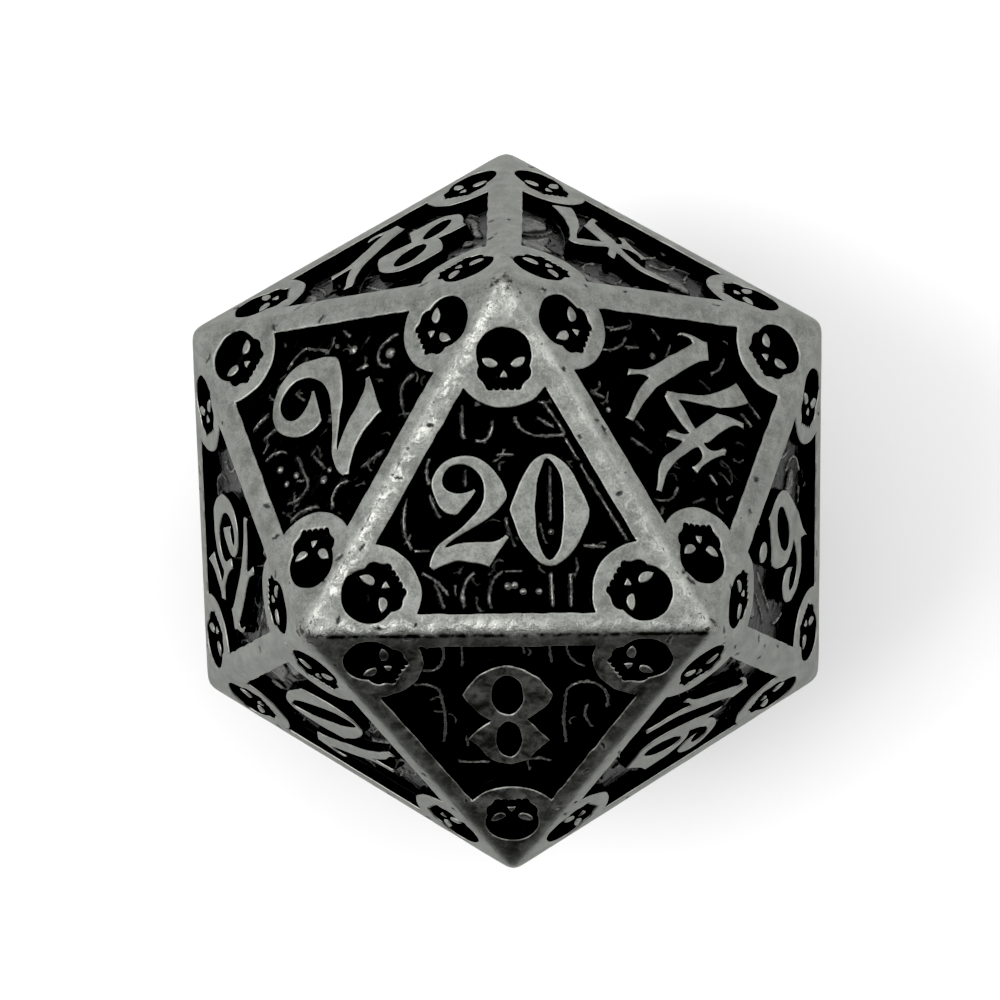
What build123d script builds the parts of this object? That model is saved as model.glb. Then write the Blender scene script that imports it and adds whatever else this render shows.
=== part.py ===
from build123d import *
import math
import os

# A twenty-sided die: one metal casting with recessed faces, and the black enamel that fills its recesses.
# Each face is drawn in its own plane: origin at the face's centre, +Y towards the corner above its numeral.

# ---- driving dimensions, mm ----
ACROSS_FLATS = 20.0        # from one face to the opposite one
EDGE_RADIUS = 0.65         # rounding of the thirty edges
STRIP_WIDTH = 0.64         # frame strip, from an edge of the die to the field
MEDALLION_RADIUS = 1.66    # ring around each corner recess
MEDALLION_INSET = 2.56     # from a corner of the face to the middle of its ring
RECESS_DEPTH = 0.50        # from the face down to the floor of a recess
ENAMEL_THICKNESS = 0.15    # enamel on that floor
CUT_OVERRUN = 0.30         # the cutting solids stand this far out of the face
DOT_RADIUS = 0.36          # mark that tells 6 and 9 apart
TOOTH_COUNT = 5            # notches along the lower edge of a corner recess
TOOTH_DEPTH = 0.07
TOOTH_SLOPE = 0.25         # share of a tooth's width on each side where its edge slopes

# ---- dimensions that follow ----
PHI = (1 + math.sqrt(5)) / 2
EDGE = ACROSS_FLATS * math.sqrt(3) / PHI**2
INRADIUS = ACROSS_FLATS / 2
FACE_INRADIUS = EDGE / (2 * math.sqrt(3))
FACE_CIRCUMRADIUS = 2 * FACE_INRADIUS
MEDALLION_CENTRE = FACE_CIRCUMRADIUS - MEDALLION_INSET

# ---- corners of the die: three on top, three under them, three lower and three on the table ----
# Two faces lie flat, so the die stands on the face numbered 1 and shows the one numbered 20 on top.
NARROW = EDGE / math.sqrt(3)
WIDE = NARROW * PHI
UPPER = EDGE / (2 * math.sqrt(3) * PHI)


def ring(radius, height, first_angle):
    angles = [math.radians(first_angle + 120 * i) for i in range(3)]
    return [Vector(radius * math.cos(t), radius * math.sin(t), INRADIUS + height) for t in angles]


CORNERS = (
    ring(NARROW, INRADIUS, 90)
    + ring(WIDE, UPPER, 270)
    + ring(WIDE, -UPPER, 90)
    + ring(NARROW, -INRADIUS, 270)
)
OPPOSITE_CORNER = [9, 10, 11, 6, 7, 8, 3, 4, 5, 0, 1, 2]

# Corners of the ten upper faces, the one above the numeral first, and the number on the face across the die.
UPPER_FACES = {
    20: ((0, 1, 2), 1),
    2: ((5, 0, 1), 19),
    14: ((4, 0, 2), 7),
    8: ((3, 1, 2), 13),
    18: ((6, 0, 5), 3),
    4: ((6, 0, 4), 17),
    6: ((8, 2, 4), 12),
    16: ((8, 2, 3), 5),
    10: ((7, 1, 3), 11),
    15: ((7, 1, 5), 9),
}

# ---- numerals ----
# An outline is a list of runs. Each run starts where the one before it ends. One point makes a straight run,
# and more make a smooth curve. The first list of a numeral is its outside, and the others are its counters.
OVAL_COUNTER = [(0, 1), (0.62, 0.78), (0.95, 0.3), (0.95, -0.3), (0.62, -0.78), (0, -1)]


def oval(x, y, half_width, half_height):
    """A closed curve with flattened sides, as the inside of a broad-nibbed round letter."""
    right = [(x + half_width * u, y + half_height * v) for u, v in OVAL_COUNTER]
    left = [(x - half_width * u, y + half_height * v) for u, v in OVAL_COUNTER[-2:0:-1]]
    return right + left


ZERO = [
    [(-1.08, 0.63), (-0.8, 1.22), (-0.45, 1.66), (-0.05, 1.82), (0.4, 1.62), (0.88, 0.98), (1.13, 0.43),
     (1.31, 0.02)],
    [(1.2, -0.47), (0.98, -0.97), (0.62, -1.47), (0.0, -1.81), (-0.42, -1.62), (-0.77, -1.22),
     (-1.04, -0.72), (-1.3, 0.03)],
]
ZERO_COUNTER = oval(-0.01, 0.02, 0.45, 1.62)

ONE = [
    [(0.47, 2.05)],
    [(0.36, 1.7), (0.33, 0.9), (0.32, 0.0), (0.36, -0.65), (0.52, -1.3), (0.88, -2.2)],
    [(0.64, -2.42)],
    [(0.46, -1.95), (0.2, -1.5), (0.02, -1.05), (-0.07, -0.62)],
    [(-0.24, -0.82), (-0.38, -1.1), (-0.5, -1.38)],
    [(-0.66, -1.2)],
    [(-0.46, -0.83), (-0.35, -0.45), (-0.33, 0.4), (-0.31, 1.2), (-0.28, 1.85)],
    [(-0.48, 1.83), (-0.63, 1.65), (-0.74, 1.42)],
    [(-0.8, 1.62), (-0.7, 1.82), (-0.4, 2.1), (-0.08, 2.45)],
]

TWO = [
    [(-0.03, 0.41), (-0.43, -0.09)],
    [(-0.83, -0.03), (-1.18, 0.26), (-1.42, 0.75), (-1.49, 1.15), (-1.4, 1.6), (-1.1, 1.98),
     (-0.65, 2.24),
     (-0.08, 2.33), (0.47, 2.22), (0.95, 1.86), (1.34, 1.33), (1.6, 0.82)],
    [(1.58, 0.62)],
    [(1.3, 0.2), (0.92, -0.17), (0.35, -0.54), (-0.3, -0.9), (-1.01, -1.42)],
    [(-0.45, -1.26), (0.15, -1.18), (0.72, -1.17), (1.12, -1.12), (1.48, -0.92)],
    [(1.64, -1.02)],
    [(1.38, -1.4), (1.12, -1.8), (0.82, -2.26)],
    [(0.42, -2.1), (-0.05, -2.02), (-0.5, -2.0), (-0.95, -2.11), (-1.44, -2.34)],
    [(-1.62, -2.16)],
    [(-1.53, -1.77), (-1.33, -1.42), (-0.93, -1.05), (-0.48, -0.72), (-0.03, -0.32), (0.4, 0.12),
     (0.62, 0.6),
     (0.63, 1.05), (0.5, 1.45), (0.2, 1.78), (-0.23, 1.95), (-0.62, 1.9), (-0.93, 1.66), (-1.02, 1.33),
     (-0.92, 1.03), (-0.68, 0.85), (-0.35, 0.79), (0.24, 0.97)],
    [(0.3, 0.85)],
]

THREE = [
    [(-1.02, 1.92), (-0.62, 2.24), (-0.08, 2.33), (0.45, 2.18), (0.9, 1.78), (1.26, 1.22)],
    [(0.98, 0.8), (0.42, 0.32)],
    [(0.95, 0.02), (1.32, -0.42), (1.52, -0.92)],
    [(1.22, -1.55), (0.72, -2.05), (0.02, -2.3), (-0.62, -2.16), (-1.15, -1.72), (-1.42, -1.12)],
    [(-0.98, -0.68)],
    [(-0.82, -1.12), (-0.55, -1.62), (-0.08, -1.9), (0.36, -1.72), (0.56, -1.18), (0.46, -0.52),
     (0.12, -0.12),
     (-0.42, 0.02)],
    [(-0.36, 0.32)],
    [(0.08, 0.5), (0.38, 0.88), (0.44, 1.36), (0.22, 1.82), (-0.18, 1.97), (-0.55, 1.8), (-0.78, 1.22)],
    [(-1.2, 1.38)],
]

FOUR = [
    [(0.35, 2.72)],
    [(0.2, 2.02), (-0.1, 1.36), (-0.55, 0.68), (-0.95, 0.08)],
    [(0.13, 0.08)],
    [(0.12, 0.75), (0.07, 1.3)],
    [(0.45, 1.68), (0.82, 2.08)],
    [(1.04, 1.93)],
    [(0.78, 1.72), (0.68, 1.3), (0.68, 0.08)],
    [(0.95, 0.14), (1.1, 0.35), (1.14, 0.68)],
    [(1.4, 0.64)],
    [(1.31, 0.2), (1.3, -0.35), (1.4, -0.88)],
    [(1.14, -0.92)],
    [(1.15, -0.52), (1.05, -0.28), (0.68, -0.24)],
    [(0.67, -0.9), (0.75, -1.55), (0.95, -2.08), (1.32, -2.62)],
    [(1.18, -2.76)],
    [(0.74, -2.32), (0.46, -1.95), (0.36, -1.4), (0.29, -0.66)],
    [(-0.14, -1.2)],
    [(-0.24, -0.96), (0.0, -0.58), (0.15, -0.22)],
    [(-0.45, -0.36), (-1.28, -0.34)],
    [(-1.4, -0.14)],
    [(-0.92, 0.62), (-0.58, 1.42), (-0.45, 2.1), (-0.43, 2.72)],
]

FIVE = [
    [(-0.72, 2.18)],
    [(-0.55, 2.02)],
    [(-0.2, 1.94), (0.35, 1.92), (0.97, 2.12)],
    [(0.62, 1.3)],
    [(0.3, 1.45), (-0.1, 1.52), (-0.42, 1.62)],
    [(-0.5, 1.3), (-0.48, 0.98)],
    [(-0.15, 0.98), (0.3, 0.92), (0.72, 0.62), (1.02, 0.2), (1.26, -0.2)],
    [(1.18, -0.82), (0.88, -1.4), (0.35, -1.84), (-0.3, -2.02), (-0.82, -1.8), (-1.15, -1.35),
     (-1.22, -0.85),
     (-1.02, -0.42), (-0.62, -0.22), (-0.1, -0.3), (0.2, -0.5)],
    [(-0.3, -1.18)],
    [(-0.4, -0.92), (-0.6, -0.76)],
    [(-0.84, -0.82), (-0.82, -1.18), (-0.55, -1.42), (-0.15, -1.45), (0.22, -1.22), (0.48, -0.78),
     (0.52, -0.18),
     (0.34, 0.32), (-0.08, 0.6), (-0.42, 0.55), (-0.64, 0.22), (-0.82, -0.12)],
    [(-1.12, 0.06)],
    [(-0.9, 0.5), (-0.8, 0.88), (-0.82, 1.45), (-0.92, 1.72), (-1.02, 1.92)],
]
FIVE_LIFT = (0, 0.12)

SIX = [
    [(-1.34, 1.0), (-1.3, 0.3), (-1.16, -0.5), (-0.96, -1.3), (-0.66, -1.88), (-0.22, -2.2),
     (0.35, -2.26),
     (0.92, -2.32)],
    [(1.06, -1.75), (1.28, -1.2), (1.6, -0.66)],
    [(1.25, -0.05), (0.85, 0.42), (0.4, 0.68), (-0.05, 0.7), (-0.45, 0.5)],
    [(-0.42, 1.15), (-0.22, 1.72), (0.12, 2.0), (0.52, 2.0), (0.76, 1.78), (0.66, 1.52), (0.05, 1.46)],
    [(0.28, 1.12), (0.62, 0.88), (1.0, 0.95), (1.26, 1.25), (1.26, 1.75), (0.98, 2.16),
     (0.52, 2.38), (-0.02, 2.36),
     (-0.52, 2.08), (-0.82, 1.6), (-1.0, 1.12)],
    [(-1.6, 1.7)],
]
SIX_COUNTER = oval(0.1, -0.72, 0.5, 1.02)

SEVEN = [
    [(-1.14, 2.42)],
    [(-0.55, 2.22), (0.3, 2.16), (0.85, 2.26), (1.34, 2.46)],
    [(1.08, 1.72), (0.6, 0.62), (0.34, -0.4), (0.3, -1.3), (0.42, -2.14)],
    [(0.1, -2.08), (-0.42, -2.34)],
    [(-0.46, -1.4), (-0.28, -0.38), (0.12, 0.62), (0.62, 1.48)],
    [(0.1, 1.4), (-0.42, 1.42), (-0.78, 1.3), (-1.06, 0.92)],
    [(-1.32, 1.12)],
]

EIGHT = [
    [(-0.82, 1.82), (-0.42, 2.2), (0.05, 2.31), (0.5, 2.18), (0.85, 1.76), (1.36, 1.14)],
    [(1.05, 0.72), (0.56, 0.26)],
    [(0.95, -0.08), (1.25, -0.48), (1.5, -0.96)],
    [(1.18, -1.55), (0.72, -2.05), (0.05, -2.29), (-0.55, -2.1), (-1.08, -1.58), (-1.46, -0.92)],
    [(-1.15, -0.3), (-0.85, -0.02), (-0.6, 0.2)],
    [(-0.98, 0.72), (-1.34, 1.2)],
]
EIGHT_COUNTERS = [oval(0.01, 1.13, 0.42, 0.84), oval(0.02, -0.94, 0.52, 0.91)]


def curve_face(points):
    """A face inside one smooth closed curve."""
    return Face(Wire(Spline(*points, periodic=True)))


def run_face(runs, shift=(0, 0)):
    """A face inside a closed outline of straight and smooth runs."""
    moved = [[(x + shift[0], y + shift[1]) for x, y in run] for run in runs]
    start = moved[-1][-1]
    edges = []
    for run in moved:
        edges.append(Line(start, run[0]) if len(run) == 1 else Spline(start, *run))
        start = run[-1]
    return Face(Wire(edges))


def numeral(runs, counters=(), shift=(0, 0)):
    face = run_face(runs, shift)
    for counter in counters:
        face = face - curve_face(counter)
    return face


DIGITS = {
    "0": numeral(ZERO, [ZERO_COUNTER]),
    "1": numeral(ONE),
    "2": numeral(TWO),
    "3": numeral(THREE),
    "4": numeral(FOUR),
    "5": numeral(FIVE, shift=FIVE_LIFT),
    "6": numeral(SIX, [SIX_COUNTER]),
    "7": numeral(SEVEN),
    "8": numeral(EIGHT, EIGHT_COUNTERS),
    ".": Sketch() + Circle(DOT_RADIUS),
}
DIGITS["9"] = Rot(0, 0, 180) * DIGITS["6"]

# What each face carries: a digit, where its middle is on the face, and its scale.
NUMBERS = {
    1: [("1", 0.0, -0.1, 1.08)],
    2: [("2", 0.08, 0.27, 1.0)],
    3: [("3", 0.0, -0.05, 1.0)],
    4: [("4", -0.2, 0.4, 1.0)],
    5: [("5", 0.05, 0.05, 1.12)],
    6: [("6", -0.15, 0.0, 1.0), (".", 1.78, -1.75, 1.0)],
    7: [("7", 0.1, 0.0, 1.0)],
    8: [("8", 0.02, 0.0, 1.0)],
    9: [("9", -0.1, 0.05, 1.0), (".", 1.85, -1.75, 1.0)],
    10: [("1", -1.15, -0.15, 1.0), ("0", 0.98, 0.05, 1.06)],
    11: [("1", -0.95, 0.0, 1.0), ("1", 0.95, 0.0, 1.0)],
    12: [("1", -1.45, 0.0, 1.0), ("2", 0.95, 0.1, 0.82)],
    13: [("1", -1.45, -0.1, 1.0), ("3", 0.75, 0.15, 0.9)],
    14: [("1", -1.35, 0.1, 1.0), ("4", 0.65, 0.0, 1.0)],
    15: [("1", -1.35, 0.0, 1.05), ("5", 0.82, 0.42, 1.02)],
    16: [("1", -1.45, -0.15, 1.0), ("6", 0.8, 0.28, 0.88)],
    17: [("1", -1.35, -0.1, 1.0), ("7", 0.85, 0.0, 0.95)],
    18: [("1", -1.45, -0.1, 1.0), ("8", 0.75, 0.35, 0.91)],
    19: [("1", -1.5, -0.1, 1.0), ("9", 0.75, 0.0, 0.88)],
    20: [("2", -1.2, 0.07, 0.79), ("0", 1.42, 0.12, 1.0)],
}

# ---- corner recess: a plain skull, drawn about the middle of its ring with its crown towards the corner ----
SKULL_SIDE = [(0.36, 0.87), (0.68, 0.64), (0.87, 0.3), (0.88, -0.02), (0.8, -0.3)]
SKULL_CHEEK = [(0.86, -0.46), (0.84, -0.62), (0.72, -0.76)]
SKULL_JAW = [(0.61, -0.9), (0.58, -1.0)]
CROWN = (0, 0.93)
JAW_Y = -1.0
EYE = [[(0.42, -0.04), (0.2, -0.22)], [(0.3, -0.36), (0.5, -0.35), (0.64, -0.22), (0.7, -0.02)]]
NOSE = [[(0.1, -0.55), (0.13, -0.68)], [(-0.13, -0.68)], [(-0.1, -0.55), (0.0, -0.42)]]


def mirrored(points):
    return [(-x, y) for x, y in points]


def teeth():
    """The lower edge of the jaw, from right to left, with a shallow tooth in each step."""
    half = SKULL_JAW[-1][0]
    step = 2 * half / TOOTH_COUNT
    slope, tip = TOOTH_SLOPE * step, JAW_Y - TOOTH_DEPTH
    runs = []
    for i in range(TOOTH_COUNT):
        x = half - i * step
        runs += [[(x - slope, tip)], [(x - step + slope, tip)], [(x - step, JAW_Y)]]
    return runs


def skull_face():
    left_jaw = mirrored(SKULL_JAW[::-1][1:] + [SKULL_CHEEK[-1]])
    left_cheek = mirrored(SKULL_CHEEK[-2::-1] + [SKULL_SIDE[-1]])
    left_side = mirrored(SKULL_SIDE[-2::-1]) + [CROWN]
    crown = left_side + SKULL_SIDE
    face = run_face([SKULL_CHEEK, SKULL_JAW, *teeth(), left_jaw, left_cheek, crown])
    eye = run_face(EYE)
    for island in (eye, mirror(eye, Plane.YZ), run_face(NOSE)):
        face = face - island
    return face


def corner_skulls():
    skull = Pos(0, MEDALLION_CENTRE) * skull_face()
    return [Rot(0, 0, 120 * i) * skull for i in range(3)]


# ---- one face ----
def field_outline():
    """The triangle inside the strips, less the three rings that stand into it."""
    field = Sketch() + RegularPolygon(2 * (FACE_INRADIUS - STRIP_WIDTH), 3, rotation=90)
    for i in range(3):
        field = field - Rot(0, 0, 120 * i) * Pos(0, MEDALLION_CENTRE) * Circle(MEDALLION_RADIUS)
    return field


def field_face(number):
    field = field_outline()
    for digit, x, y, scale_by in NUMBERS[number]:
        field = field - Pos(x, y) * scale(DIGITS[digit], scale_by)
    return field


def face_plane(corners):
    up, second, third = (CORNERS[i] for i in corners)
    middle = (up + second + third) / 3
    normal = middle - Vector(0, 0, INRADIUS)
    return Plane(middle, x_dir=(up - middle).cross(normal), z_dir=normal)


def all_faces():
    """Every face's number and plane."""
    faces = {}
    for number, (corners, across) in UPPER_FACES.items():
        faces[number] = face_plane(corners)
        faces[across] = face_plane([OPPOSITE_CORNER[i] for i in corners])
    return faces


def blank():
    """The plain icosahedron with rounded edges."""
    solid = ConvexPolyhedron(CORNERS, align=None)
    return fillet(solid.edges(), EDGE_RADIUS)


def prism(sheets, bottom, top):
    """Solids on each sheet of a face, between two depths measured down from the face."""
    return [
        Pos(0, 0, -bottom) * extrude(sheet, bottom - top, dir=(0, 0, 1))
        for sheet in sheets
    ]


def build():
    os.makedirs("parts", exist_ok=True)
    skulls = corner_skulls()
    enamel_top = RECESS_DEPTH - ENAMEL_THICKNESS
    cutters = []
    for number, plane in sorted(all_faces().items()):
        fields = field_face(number).faces()
        for name, sheets in (("enamel_field", fields), ("skull_enamel", skulls)):
            fill = [plane.location * s for s in prism(sheets, RECESS_DEPTH, enamel_top)]
            export_step(Compound(children=fill), f"parts/{name}_{number:02d}.step")
            cutters += [plane.location * s for s in prism(sheets, RECESS_DEPTH, -CUT_OVERRUN)]
    export_step(blank() - cutters, "parts/cast_body.step")


build()
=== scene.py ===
from math import copysign, cos, pi, radians, sin, sqrt

import bpy
import numpy as np
from mathutils import Euler, Matrix, Vector
from mathutils.geometry import delaunay_2d_cdt
from numpy.linalg import norm


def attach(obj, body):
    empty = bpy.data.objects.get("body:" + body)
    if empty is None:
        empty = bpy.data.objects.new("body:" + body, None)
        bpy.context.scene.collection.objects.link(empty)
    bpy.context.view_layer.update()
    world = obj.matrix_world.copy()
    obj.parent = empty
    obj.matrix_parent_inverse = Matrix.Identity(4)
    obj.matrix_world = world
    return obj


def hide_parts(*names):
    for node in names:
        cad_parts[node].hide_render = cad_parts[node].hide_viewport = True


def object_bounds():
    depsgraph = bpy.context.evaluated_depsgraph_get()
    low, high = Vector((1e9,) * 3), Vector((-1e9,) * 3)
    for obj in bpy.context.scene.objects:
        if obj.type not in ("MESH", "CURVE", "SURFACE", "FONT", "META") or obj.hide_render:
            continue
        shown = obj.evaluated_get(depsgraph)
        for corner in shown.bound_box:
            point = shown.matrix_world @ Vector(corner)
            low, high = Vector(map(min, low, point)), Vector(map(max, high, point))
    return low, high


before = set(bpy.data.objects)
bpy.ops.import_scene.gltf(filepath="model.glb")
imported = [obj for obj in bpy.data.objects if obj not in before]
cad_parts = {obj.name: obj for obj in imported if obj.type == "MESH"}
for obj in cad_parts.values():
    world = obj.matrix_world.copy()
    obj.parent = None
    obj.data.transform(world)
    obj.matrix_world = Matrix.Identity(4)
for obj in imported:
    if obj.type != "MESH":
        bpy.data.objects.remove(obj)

# A twenty-sided metal die with black enamel in its recesses. The outlines are read from the CAD enamel,
# so every numeral, ring and skull stays where the CAD has it. Work is in mm from the middle of the die
# until a mesh is made.

# ---- the die's own geometry, mm ----
MM = 1000.0
CAD_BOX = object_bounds()
HALF = (CAD_BOX[1].z - CAD_BOX[0].z) * MM / 2  # from the middle to a face
MIDDLE = Vector((0, 0, HALF / MM))
PHI = (1 + sqrt(5)) / 2
EDGE = 2 * HALF * sqrt(3) / PHI**2
CORNER_ANGLES = (90, 210, 330)
CORNER_REACH = EDGE / sqrt(3)  # from a face's centre to its corner
EDGE_REACH = CORNER_REACH / 2  # from a face's centre to its edge
SOFTNESS = 0.08  # rounding of edges and corners

# ---- casting, mm ----
RIM = 0.06  # rounding at the top of a recess wall
WALL_LEAN = 0.02  # how far the foot of a wall stands inside its top
OUTLINE_STEP = 0.115  # spacing of the points along a numeral or ring
SKULL_STEP = 0.075  # the same along a skull
FILL_STEP = 0.24  # spacing of the points on flat metal
EDGE_STEP, WORN_STEP = 0.2, 0.09  # spacing along an edge of the die, whole or crumbled by wear
EDGE_ROWS = (0.07, 0.16, 0.28, 0.42)  # how far inside an edge the lines of points run
WORN_ROWS = (0.04, 0.09, 0.15, 0.21, 0.28, 0.36, 0.45)
CLEARANCE = 0.035  # between points on flat metal and a recess's rim
OUTLINE_WOBBLE, WOBBLE_SIZE = 0.013, 0.4  # unevenness of the outlines
SWELL, SWELL_SIZE = 0.006, 0.7  # gentle unevenness of the tumbled surface
CRUMBLE, CRUMBLE_SIZE = 0.022, 0.24  # unevenness of a worn edge
SINK = 2.0  # shifts the unevenness inwards, so that almost none stands proud
# the face with worn edges, which also carry a painted highlight, strongest on the lamp's side
WORN_FACE = 20
WEAR_SHEEN_INSET, WEAR_SHEEN_REACH = 0.2, 0.26  # the middle of the wear and painted highlight, inwards from the edge, and its half-width
WEAR_SHEEN_LEAST, WEAR_SHEEN_SPREAD = 0.45, 5.0  # the wear and painted highlight fall to this share over this distance along X, away from the lamp
RIM_FADE = 0.05  # width of the rubbed rim round a recess
SHADED_PATINA_FACE = 8  # the face with the most residue on its metal, and with painted shade, as it is turned from the light
PATINA_AND_SHADE, USUAL_PATINA = 0.85, 0.12  # how dark the residue and painted shade are there, and the residue on all the others
PATINA_EDGE = 0.28  # it fades out this near to an edge of the face
STRIP_REACH, STRIP_PATINA = 0.5, 0.15  # there is less of it on the strip next to the worn face, except in a line of painted shade just under the worn edge
SHADE_LINE_INSET, SHADE_LINE_REACH, SHADE_LINE_DARKNESS = 0.12, 0.08, 1.6  # except in a dark line just under the worn edge
DIRT_REACH = 0.8  # how far dark spots go from the worn face's corners
NICKS_PER_FACE = 8
NICK_INSET, NICK_ALONG = (0.16, 0.5), 0.42  # from the edge, and along it as a share of its length
NICK_LENGTH, NICK_WIDTH, NICK_DEPTH = (0.07, 0.17), (0.04, 0.065), (0.045, 0.085)
NICK_ROWS, NICK_FALL = (0.55, 1.0, 1.5), 1.6  # where it needs points, in its own sizes, and how fast it ends
NICK_CLEAR = 0.03  # no dent comes nearer to an edge of the die
NICK_EDGE = 0.012  # a dent deeper than this is full of paint

# ---- enamel, mm ----
ENAMEL_LEVEL = 0.42  # the open surface, below the face
COAT_EDGE = (0.0, 0.01, 0.022, 0.036, 0.055, 0.085)  # from the outline inwards
COAT_DEPTH = (0.056, 0.12, 0.26, 0.37, 0.41, ENAMEL_LEVEL)  # the film on the wall, then the floor
ENAMEL_STEP, STROKE_STEP = 0.12, 0.09  # spacing of points on the open surface and along a ridge
ENAMEL_GAP = 0.04  # size of the squares that hold one point at most
RIDGE_WIDTH, RIDGE_HEIGHT = 0.075, 0.08
STONE_HEIGHT, STONE_SHOULDER = 0.09, 0.07
CLUTTER_WIDTH, CLUTTER_HEIGHT, CLUTTER_SPREAD = 0.055, 0.04, 4.2
RIDGE_ROWS = (0, -0.32, 0.32, -0.66, 0.66, -1.05, 1.05)  # where a ridge needs points, in half-widths
STONE_ROWS = (0, -0.5, 0.5, -1, 1)  # and a stone, in shoulders, and a dot, in radii
DOT_ROWS = (0.4, 0.75, 1.1)
SAG, SAG_SIZE, PIT, PIT_SIZE = 0.008, 0.5, 0.003, 0.2  # unevenness of the open surface
BROW = ((-0.6, 0.12), (-0.3, 0.24), (0.0, 0.17), (0.3, 0.24), (0.6, 0.12))  # from a skull's middle
BROW_HEIGHT, BROW_WIDTH, BROW_SAG_SIZE = 0.03, 0.2, 0.3
SKULL_LEAST = 1.2  # an outline in a medallion that is wider than this is a skull
BARE_WIDTH, BARE_FADE = 0.45, 0.35  # share of a ridge's half-width that is rubbed bare
DOT_BARE = 0.75
RIDGE_SHOWS, CLUTTER_SHOWS, STONE_SHOWS = (0.3, 1.0), (0.12, 0.5), 0.4  # how bare each kind is

# ---- materials: colours, shares, and sizes in mm ----
METAL_DARK, METAL_LIGHT = (0.168, 0.174, 0.161, 1), (0.285, 0.294, 0.273, 1)
# the worn colour is also a painted highlight along the worn face's edges
METAL_WORN_AND_SHEEN, METAL_RUBBED = (0.5, 0.5, 0.47, 1), (0.28, 0.29, 0.27, 1)
METAL_GRAZE = (0.7, 0.7, 0.7, 1)  # low-angle reflections are weaker than a clean metal's
# the patina colour also paints shade on face 8 and under its edge with the worn face
PATINA_AND_SHADE_COLOUR, DIRT_COLOUR = (0.03, 0.03, 0.027, 1), (0.03, 0.022, 0.017, 1)
PAINT_COLOUR = (0.004, 0.004, 0.004, 1)
BROAD_SIZE, MOTTLE_SIZE, GRAIN_SIZE, BLOTCH_SIZE, STREAK_SIZE, SPECK_SIZE = 0.9, 0.3, 0.07, 0.45, 0.5, 0.2
METAL_ROUGH, WORN_SMOOTHER = (0.38, 0.52), 0.1
DIRT_SHOWS, DIRT_MORE = 0.85, 0.18  # how dark a speck is, and how many more are at corners
RIM_SHINE = 0.12  # how bright the rubbed rim is
ENAMEL_DARK, ENAMEL_LIGHT = (0.0008, 0.0009, 0.0008, 1), (0.0022, 0.0024, 0.0022, 1)
ENAMEL_ROUGH, BARE_ROUGHER = (0.14, 0.28), 0.2
ENAMEL_SHINE, ENAMEL_IOR = 0.2, 1.2
DRIP_SIZE, GRIT_SIZE, SCUFF_SIZE = 0.35, 0.12, 0.35
FLOOR_DARK, FLOOR_LIGHT, FLOOR_MARKS = (0.75, 0.75, 0.75, 1), (0.77, 0.77, 0.77, 1), 30

# ---- stage ----
FLOOR_SIZE = 3.0  # m
LENS, SENSOR = 165.7, 36  # mm
CAMERA_TURN = (0.02443, -0.01568, 0.01218)  # small turns of the camera about x, y and z, in radians
CAMERA_BACK = (-0.3348, 0.2220, 157.90)  # mm from the die's middle, along the camera's own axes
SKY = ((0.0, 0.06), (0.16, 0.12), (0.34, 1.2), (0.52, 2.4), (0.80, 2.4), (0.9, 1.0), (1.0, 0.8))
PERSON_SHADE = 0.75  # how much of the light someone standing on the -Y side blocks
RIGHT_GAIN = 0.25  # the room is brighter on the +X side
BACKDROP = (1, 1, 1, 1)
FLAG_WIDTH, FLAG_HEIGHT, FLAG_PLACE, FLAG_LEAN = 0.12, 0.07, -0.045, 0.02  # m
FLAG_COLOUR = (0.01, 0.01, 0.01, 1)
LAMP_SIZE, LAMP_PLACE, LAMP_POWER = 0.46, (-0.44, -0.02, 0.46), 2.7  # m and W
BLACK_LEVEL = 0.0075  # the camera's blacks are crushed a little

# ---- working limits ----
CORNER_TURN = 0.5  # an outline that turns more than this, in radians, has a corner there
LEVEL = 1e-3  # points nearer than this to a plane are in it
FACING = 0.99  # cosine of how far a triangle in a plane may seem turned
ON_OUTLINE = 1e-4
REACH = 0.5  # distances to an outline are measured up to here
CELL = 0.9  # size of the squares that points are sorted into, for speed
JITTER = 0.18  # how far a point in a pattern is out of place, as a share of the spacing
BAND = 250  # points compared with the outlines at a time
ROUNDING_STEPS = 5
WOBBLE_SEEDS, SWELL_SEED, CRUMBLE_SEED = (200, 300), 11, 12
CASTING_SEED, ENAMEL_SEED, RELIEF_SEED, SAG_SEED, PIT_SEED, BROW_SEED = 400, 700, 900, 50, 80, 30


# ---- corners and faces of the die ----
def unit(vectors):
    return vectors / norm(vectors, axis=1)[:, None]


def directions(angles):
    return np.stack([np.cos(angles), np.sin(angles)], axis=1)


def circle(count):
    return directions(np.arange(count) * 2 * pi / count)


def ring(radius, height, first_angle):
    flat = radius * directions(np.radians(first_angle + 120 * np.arange(3)))
    return np.column_stack([flat, np.full(3, height)])


WIDE, UPPER = CORNER_REACH * PHI, EDGE / (2 * sqrt(3) * PHI)
CORNERS = np.concatenate([
    ring(CORNER_REACH, HALF, 90), ring(WIDE, UPPER, 270),
    ring(WIDE, -UPPER, 90), ring(CORNER_REACH, -HALF, 270),
])


def read(items, key, kind):
    values = np.empty(3 * len(items), kind)
    items.foreach_get(key, values)
    return values.reshape(-1, 3)


def cad_mesh(node):
    """Points of a CAD node and its triangles, with equal points merged."""
    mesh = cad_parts[node].data
    mesh.calc_loop_triangles()
    points = (read(mesh.vertices, "co", np.float32).astype(float) - np.array(MIDDLE)) * MM
    rounded = np.round(points / LEVEL * 10)
    _, first, same = np.unique(rounded, axis=0, return_index=True, return_inverse=True)
    return points[first], same.reshape(-1)[read(mesh.loop_triangles, "vertices", np.int32)]


def normals_by_area(points, triangles):
    """Each triangle's normal, twice as long as the triangle's area."""
    a, b, c = (points[triangles[:, i]] for i in range(3))
    return np.cross(b - a, c - a)


def border_edges(triangles):
    """The directed edges that have a triangle on one side only."""
    edges = {(int(t[i]), int(t[(i + 1) % 3])) for t in triangles for i in range(3)}
    return sorted((a, b) for a, b in edges if (b, a) not in edges)


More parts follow.
